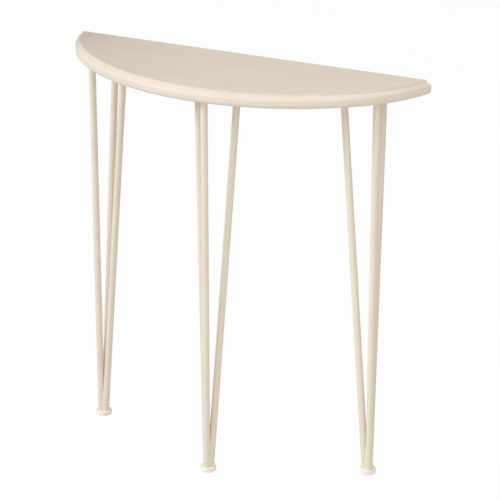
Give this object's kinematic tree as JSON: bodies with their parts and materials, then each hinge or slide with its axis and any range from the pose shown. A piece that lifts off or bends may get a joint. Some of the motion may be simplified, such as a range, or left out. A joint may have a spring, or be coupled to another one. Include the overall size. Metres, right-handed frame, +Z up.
{
  "type": "demilune table",
  "caption": "Half-round hall table with a straight back, a stepped, sloped and rounded moulded edge, and slender legs of welded rods ending in round feet.",
  "frame": {"origin": "on the floor, below the middle of the table's bounding box", "axes": "+X along the straight back edge, to the right seen from the curved front; +Y towards the straight back; +Z up"},
  "size_m": [0.7, 0.224, 0.7364],
  "materials": {
    "painted_top": "satin cream paint on wood",
    "painted_rod": "satin cream paint on steel rod",
    "painted_plate": "satin cream paint on steel plate",
    "foot_plastic": "ivory, matte",
    "screw_steel": "zinc plated"
  },
  "bodies": {
    "root": {"front_foot": "foot_plastic", "front_leg_left_rod": "painted_rod", "front_leg_outer_rod": "painted_rod", "front_leg_plate": "painted_plate", "front_leg_right_rod": "painted_rod", "left_foot": "foot_plastic", "left_leg_left_rod": "painted_rod", "left_leg_outer_rod": "painted_rod", "left_leg_plate": "painted_plate", "left_leg_right_rod": "painted_rod", "leg_screws": "screw_steel", "right_foot": "foot_plastic", "right_leg_left_rod": "painted_rod", "right_leg_outer_rod": "painted_rod", "right_leg_plate": "painted_plate", "right_leg_right_rod": "painted_rod", "table_top": "painted_top"}
  },
  "joints": []
}
